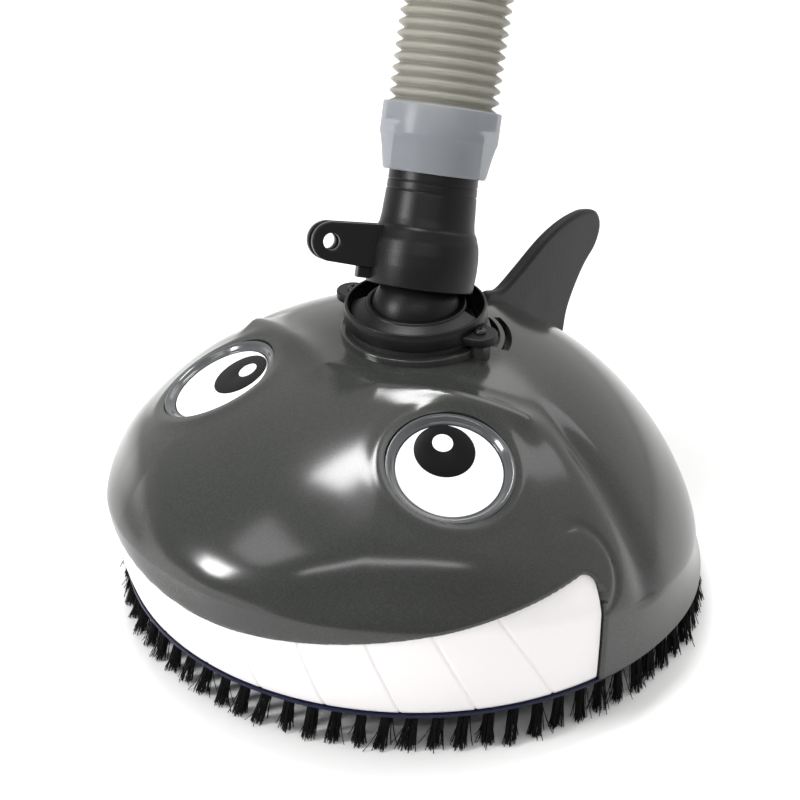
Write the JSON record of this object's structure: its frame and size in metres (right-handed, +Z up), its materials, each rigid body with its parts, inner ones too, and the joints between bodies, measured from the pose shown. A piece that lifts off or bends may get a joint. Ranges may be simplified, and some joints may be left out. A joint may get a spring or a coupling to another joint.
{
  "type": "pool cleaner",
  "caption": "Domed suction pool cleaner head with an animal face, a bristle skirt, a tail fin and a tilting swivel neck that carries a corrugated hose.",
  "frame": {"origin": "on the floor under the dome's axis, at the middle of the head's box without its hose", "axes": "+Z up along the dome's axis, the face looks along -Y, the fin points along +Y"},
  "size_m": [0.2724, 0.3435, 0.5385],
  "materials": {
    "shell_grey": "gloss moulded ABS, dark grey",
    "black_plastic": "satin moulded plastic, black",
    "white_plastic": "satin moulded plastic, white",
    "bezel_grey": "gloss moulded plastic, mid grey",
    "eye_black": "gloss plastic disc, black",
    "screw_steel": "stainless steel screw",
    "seal_rubber": "black rubber seal",
    "bristle": "black nylon bristle",
    "inner_plastic": "grey moulded plastic",
    "rotor_plastic": "orange moulded plastic",
    "shaft_steel": "stainless steel",
    "bush_brass": "plain brass",
    "gear_plastic": "natural acetal",
    "foam": "closed-cell foam",
    "cuff_clear": "translucent blue-grey plastic",
    "hose_clear": "translucent grey-beige plastic"
  },
  "bodies": {
    "head": {"upper_shell": "shell_grey", "mouth_panel": "black_plastic", "tooth_band": "white_plastic", "eye_bezels": "bezel_grey", "eye_whites": "white_plastic", "eye_pupils": "eye_black", "eye_glints": "white_plastic", "dorsal_fin": "black_plastic", "fin_screws": "screw_steel", "turret_flange": "black_plastic", "flange_gasket": "seal_rubber", "flange_screws": "screw_steel", "base_plate": "black_plastic", "base_screws": "screw_steel", "brush_ring": "black_plastic", "bristle_tufts": "bristle", "suction_throat": "black_plastic", "turbine_case_left": "inner_plastic", "turbine_case_right": "inner_plastic", "shaft_bushes": "bush_brass", "gear_frame": "inner_plastic", "outlet_tube": "inner_plastic", "float_ring": "foam", "ballast_plate": "shaft_steel"},
    "turbine": {"turbine_rotor": "rotor_plastic", "turbine_shaft": "shaft_steel", "drive_pinion": "gear_plastic"},
    "eccentric": {"eccentric_gear": "gear_plastic", "eccentric_weight": "shaft_steel", "gear_shaft": "shaft_steel"},
    "swivel": {"swivel_collar": "black_plastic", "bearing_ring": "gear_plastic", "trunnion_pins": "shaft_steel"},
    "neck": {"neck_ball": "black_plastic", "neck_body": "black_plastic", "cuff_seal": "seal_rubber"},
    "hose_line": {"hose_cuff": "cuff_clear", "hose": "hose_clear", "hose_end_cuff": "cuff_clear"}
  },
  "joints": [
    {"name": "neck_swivel", "type": "hinge", "parent": "head", "child": "swivel", "pos_m": [0, 0, 0.137], "axis": [0, 0, 1], "continuous": true},
    {"name": "neck_tilt", "type": "hinge", "parent": "swivel", "child": "neck", "pos_m": [0, 0, 0.137], "axis": [0.9511, 0.309, 0], "range_deg": [-3, 40]},
    {"name": "cuff_spin", "type": "hinge", "parent": "neck", "child": "hose_line", "pos_m": [0, 0, 0.137], "axis": [-0.1306, 0.4019, 0.9063], "continuous": true},
    {"name": "eccentric_spin", "type": "hinge", "parent": "head", "child": "eccentric", "pos_m": [0.034, -0.0432, 0.064], "axis": [1, 0, 0], "continuous": true},
    {"name": "turbine_spin", "type": "hinge", "parent": "head", "child": "turbine", "pos_m": [0, 0, 0.064], "axis": [1, 0, 0], "continuous": true}
  ],
  "couplings": [
    {"joint": "turbine_spin", "follows": "eccentric_spin", "ratio": -3}
  ]
}
